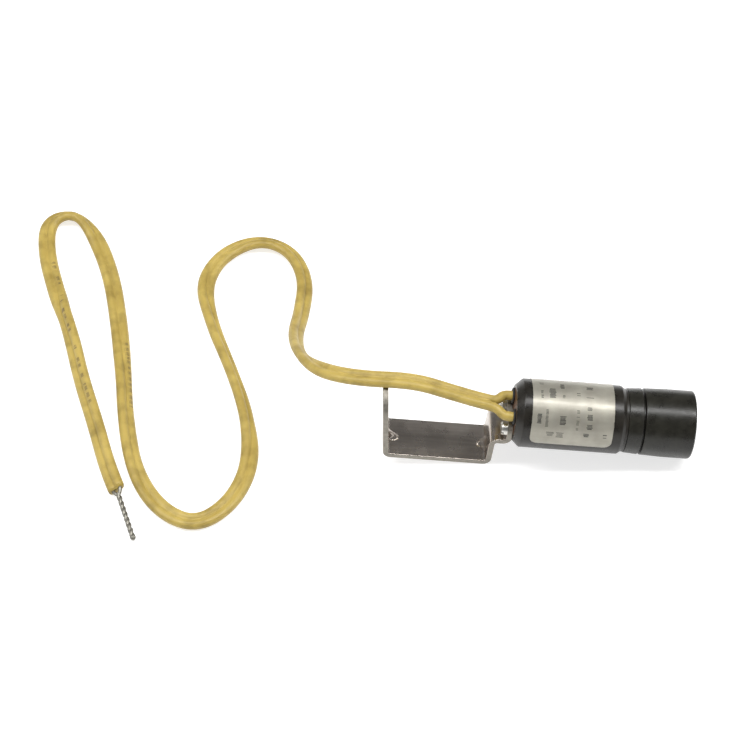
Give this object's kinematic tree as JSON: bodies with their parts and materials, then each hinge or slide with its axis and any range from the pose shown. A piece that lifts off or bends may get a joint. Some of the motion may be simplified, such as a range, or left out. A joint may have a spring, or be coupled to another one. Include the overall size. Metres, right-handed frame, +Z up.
{
  "type": "flame sensor probe",
  "caption": "Plug-in photocell flame sensor in a round black barrel, with a sheet-metal mounting bracket on its rear end and a long yellow twin lead ending in bare conductors.",
  "frame": {"origin": "centre of the object's footprint on the surface it rests on, measured without the lead", "axes": "+X towards the sight end of the barrel (the barrel dips 6.6 degrees, as it rests), +Z up"},
  "size_m": [0.2441, 0.1581, 0.0435],
  "materials": {
    "black_plastic": "satin moulded",
    "label_foil": "brushed foil with dark print",
    "brown_phenolic": "moulded phenolic",
    "black_rubber": "matte",
    "yellow_insulation": "soft satin",
    "tinned_copper": "tinned",
    "contact_brass": "bright",
    "bright_steel": "bright plated sheet",
    "zinc_steel": "zinc plated",
    "white_plastic": "matte",
    "ceramic": "fired ceramic",
    "photocell_film": "matte film",
    "electrode_metal": "evaporated metal film",
    "window_glass": "clear"
  },
  "bodies": {
    "housing": {"housing_body": "black_plastic", "name_label": "label_foil", "rear_disc": "brown_phenolic", "lead_grommets": "black_rubber", "inner_leads": "yellow_insulation", "inner_conductors": "tinned_copper", "socket_block": "brown_phenolic", "socket_contacts": "contact_brass", "threaded_inserts": "contact_brass", "mounting_bracket": "bright_steel", "screw_washers": "zinc_steel", "bracket_screws": "zinc_steel", "twin_lead": "yellow_insulation", "lead_legs": "yellow_insulation", "tinned_ends": "tinned_copper"},
    "front_unit": {"cell_carrier": "black_plastic", "contact_pins": "contact_brass", "cell_holder": "white_plastic", "photocell_disc": "ceramic", "photocell_leads": "tinned_copper", "photocell_track": "photocell_film", "photocell_electrodes": "electrode_metal", "sight_sleeve": "black_plastic", "window_gasket": "black_rubber", "window_glass": "window_glass", "window_ring": "zinc_steel", "flange_gasket": "black_rubber"},
    "lock_ring": {"locking_ring": "black_plastic"}
  },
  "joints": [
    {"name": "cell_unit_slide", "type": "slide", "parent": "housing", "child": "front_unit", "axis": [0.9933, 0, -0.1153], "range_m": [0, 0.03]},
    {"name": "locking_ring_turn", "type": "hinge", "parent": "front_unit", "child": "lock_ring", "pos_m": [0.03331, 0, 0.01463], "axis": [0.9933, 0, -0.1153], "continuous": true}
  ]
}
